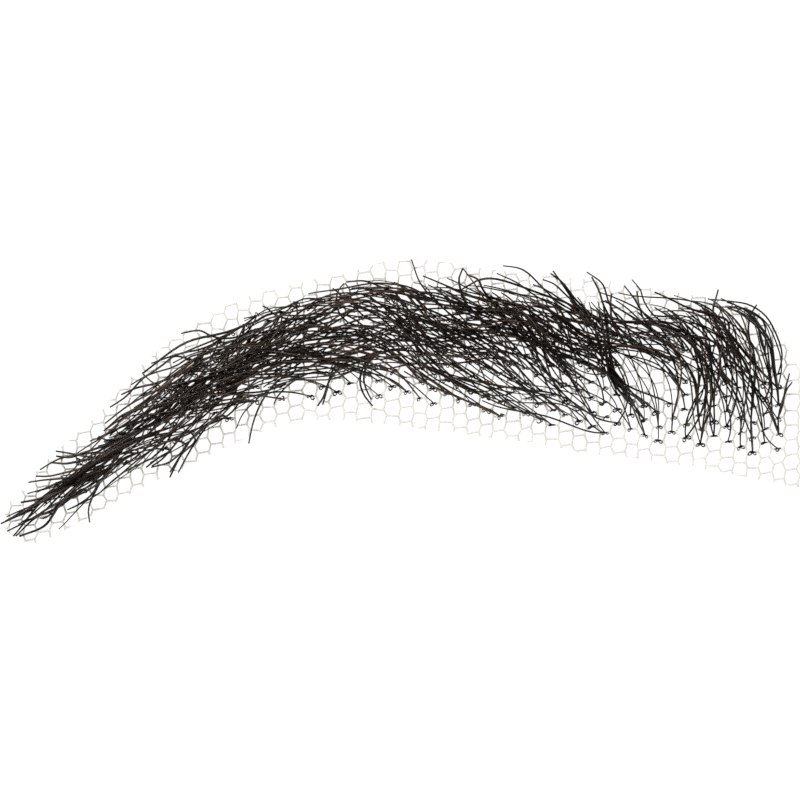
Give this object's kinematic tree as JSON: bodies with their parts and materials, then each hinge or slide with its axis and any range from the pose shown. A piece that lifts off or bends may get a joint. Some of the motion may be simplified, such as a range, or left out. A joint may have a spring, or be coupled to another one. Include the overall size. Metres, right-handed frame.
{
  "type": "false eyebrow",
  "caption": "Arched false eyebrow of dark hair tied in rows to a cut piece of hexagonal net, worn glued to the brow by the net's underside.",
  "frame": {"origin": "middle of the whole piece, on the net's underside", "axes": "+X from the tail to the head of the brow, +Y to the forehead, +Z away from the skin"},
  "size_m": [0.0642, 0.0224, 0.0028],
  "materials": {
    "net": "matt monofilament net",
    "hair": "dark human hair with a soft sheen"
  },
  "bodies": {
    "root": {"lace_net": "net", "hair": "hair"}
  },
  "joints": []
}
